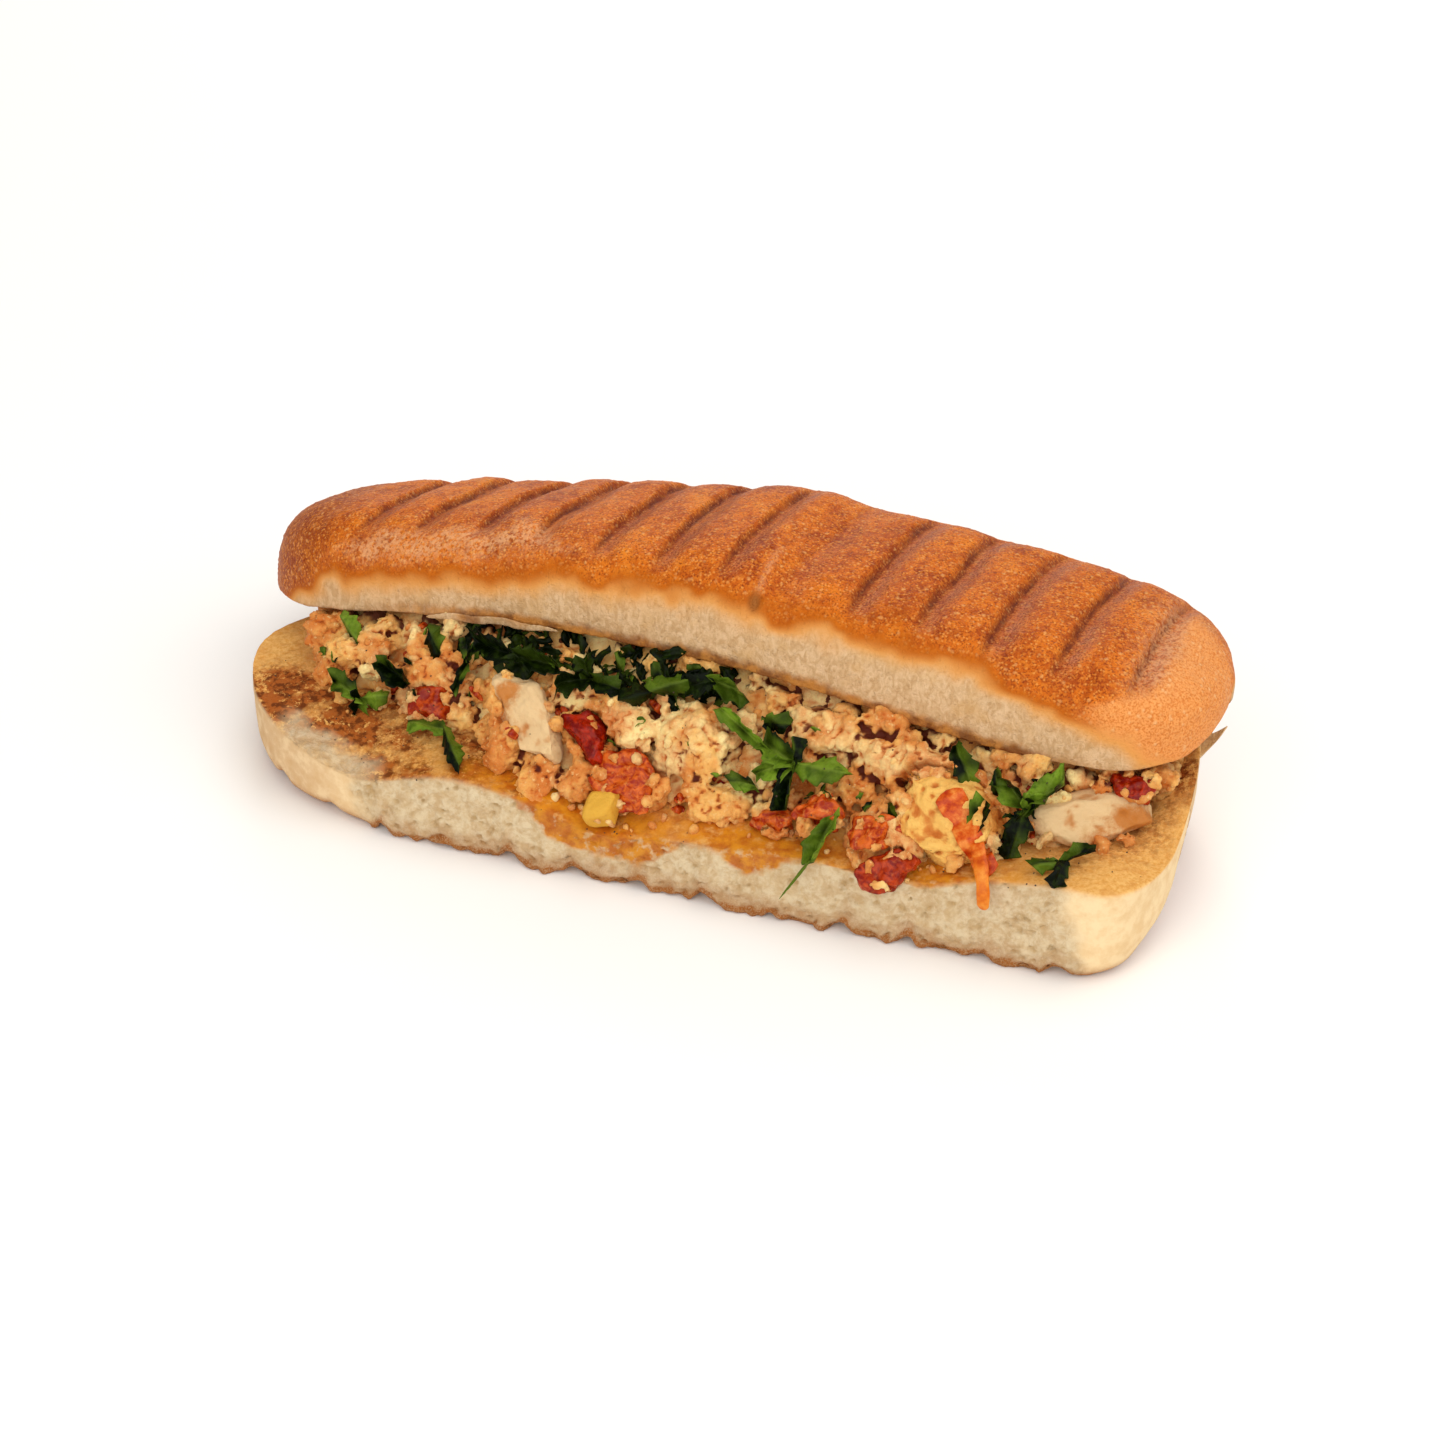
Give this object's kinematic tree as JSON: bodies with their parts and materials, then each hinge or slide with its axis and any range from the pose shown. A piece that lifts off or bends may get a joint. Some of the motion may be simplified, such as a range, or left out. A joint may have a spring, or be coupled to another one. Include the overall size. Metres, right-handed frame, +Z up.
{
  "type": "filled sandwich roll",
  "caption": "Long pressed bread roll, split and filled with spiced scrambled egg, tomato and chopped parsley, open along its front.",
  "frame": {"origin": "centre of the bounding box in plan, at the ribs that the roll lies on", "axes": "+X along the roll, -Y towards its open, filled front, +Z up"},
  "size_m": [0.235, 0.1034, 0.0641],
  "materials": {
    "crumb": "open pale crumb with toasted patches, matte",
    "crust": "golden brown pressed crust, satin",
    "egg": "moist crumbled egg with tomato stains",
    "egg_white": "smooth cooked egg white, satin",
    "yolk": "cooked yolk, satin",
    "tomato": "wet cooked tomato, glossy",
    "pepper": "wet orange pepper skin, glossy",
    "parsley": "moist chopped parsley leaf, satin"
  },
  "bodies": {
    "root": {"bread_bottom": "crumb", "bread_top": "crust", "parsley_left": "parsley", "parsley_folded": "parsley", "parsley_top_left": "parsley", "parsley_back_left": "parsley", "parsley_sprig": "parsley", "parsley_fork": "parsley", "parsley_band_one": "parsley", "parsley_band_two": "parsley", "parsley_band_three": "parsley", "parsley_band_four": "parsley", "parsley_long": "parsley", "parsley_upper": "parsley", "parsley_centre": "parsley", "parsley_low_left": "parsley", "parsley_small": "parsley", "parsley_slim": "parsley", "parsley_on_egg": "parsley", "parsley_right": "parsley", "parsley_stalk": "parsley", "parsley_crumb": "parsley", "parsley_front_right": "parsley", "pepper_strip": "pepper", "pepper_tail": "pepper", "tomato_left": "tomato", "tomato_red": "tomato", "tomato_pulp": "tomato", "tomato_low": "tomato", "tomato_middle": "tomato", "tomato_clump": "tomato", "tomato_front": "tomato", "tomato_right": "tomato", "egg_white_wedge": "egg_white", "egg_white_slab": "egg_white", "egg_yolk_piece": "yolk", "egg_smooth_piece": "egg", "egg_filling": "egg"}
  },
  "joints": []
}
